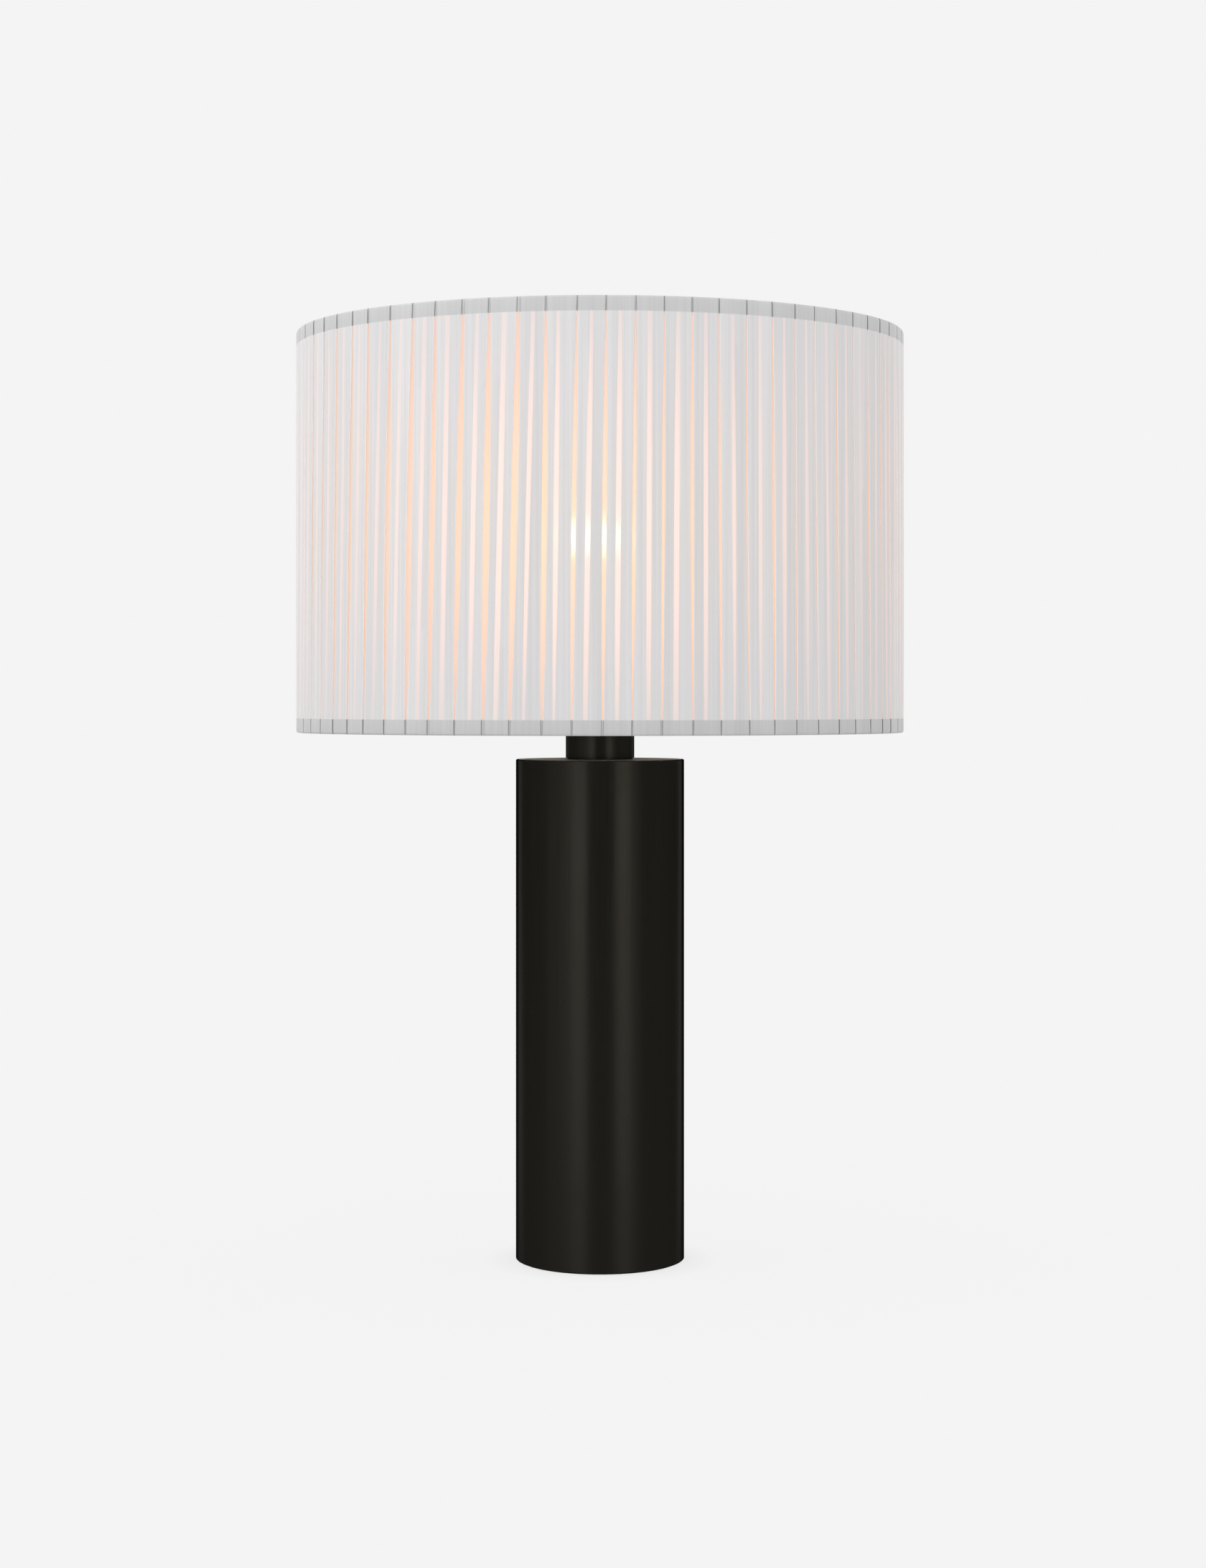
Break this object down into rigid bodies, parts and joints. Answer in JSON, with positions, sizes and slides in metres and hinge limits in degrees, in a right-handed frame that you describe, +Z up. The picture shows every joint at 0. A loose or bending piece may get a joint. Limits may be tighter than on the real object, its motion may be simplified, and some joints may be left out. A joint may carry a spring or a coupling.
{
  "type": "table lamp",
  "caption": "Table lamp with a heavy cylindrical metal base, a short neck, a harp over the bulb and a box-pleated drum shade held by a finial.",
  "frame": {"origin": "centre of the foot, on the surface the lamp stands on", "axes": "+Z up along the lamp's axis, -Y towards the switch knob (front), +Y towards the cord inlet (back), harp legs at +X and -X"},
  "size_m": [0.4058, 0.406, 0.6201],
  "materials": {
    "bronze": "dark oil-rubbed bronze, brushed upright, satin",
    "iron": "rough cast",
    "steel": "zinc plated",
    "felt": "pressed felt",
    "black_plastic": "moulded",
    "nickel": "satin nickel plate",
    "brass": "pressed sheet, lightly lacquered",
    "fibre": "fishpaper",
    "phenolic": "moulded phenolic",
    "lead_jacket": "soft vinyl",
    "frosted_glass": "frosted inside, lit",
    "clear_glass": "clear",
    "black_glass": "glossy",
    "aluminium": "rolled thread",
    "filament": "glowing coil",
    "pleated_cloth": "fine white woven cloth, pressed box pleats, translucent",
    "liner": "translucent styrene",
    "tape": "cotton binding tape"
  },
  "bodies": {
    "base": {"column_tube": "bronze", "top_plate": "bronze", "base_weight": "iron", "bottom_cover": "steel", "cover_screws": "steel", "foot_pad": "felt", "cord_bushing": "black_plastic", "threaded_rod": "steel", "rod_washer": "steel", "rod_nut": "steel", "neck_ring": "bronze", "neck_cup": "bronze", "harp_saddle": "nickel", "lock_nut": "brass", "harp_wire": "nickel", "harp_stud": "brass", "socket_cap": "brass", "socket_set_screw": "steel", "socket_shell": "brass", "socket_insulator": "fibre", "socket_body": "phenolic", "terminal_screws": "brass", "screw_shell": "brass", "centre_contact": "brass", "lead_wires": "lead_jacket"},
    "sleeve_left": {"harp_sleeve_left": "nickel"},
    "sleeve_right": {"harp_sleeve_right": "nickel"},
    "switch": {"switch_knob": "phenolic"},
    "bulb": {"bulb_glass": "frosted_glass", "bulb_cap": "aluminium", "bulb_insulator": "black_glass", "bulb_contact": "brass", "bulb_stem": "clear_glass", "bulb_filament": "filament"},
    "shade": {"spider_fitter": "nickel", "bottom_ring": "nickel", "shade_liner": "liner", "top_tape": "tape", "bottom_tape": "tape", "pleated_cover": "pleated_cloth"},
    "finial": {"finial": "bronze"}
  },
  "joints": [
    {"name": "shade_lift", "type": "slide", "parent": "base", "child": "shade", "axis": [0, 0, 1], "range_m": [0, 0.25]},
    {"name": "finial_unscrew", "type": "slide", "parent": "shade", "child": "finial", "axis": [0, 0, 1], "range_m": [0, 0.012]},
    {"name": "bulb_unscrew", "type": "slide", "parent": "base", "child": "bulb", "axis": [0, 0, 1], "range_m": [0, 0.03]},
    {"name": "switch_turn", "type": "hinge", "parent": "base", "child": "switch", "pos_m": [0, -0.02, 0.39925], "axis": [0, -1, 0], "continuous": true},
    {"name": "sleeve_left_slide", "type": "slide", "parent": "base", "child": "sleeve_left", "axis": [0, 0, 1], "range_m": [0, 0.012]},
    {"name": "sleeve_right_slide", "type": "slide", "parent": "base", "child": "sleeve_right", "axis": [0, 0, 1], "range_m": [0, 0.012]}
  ]
}
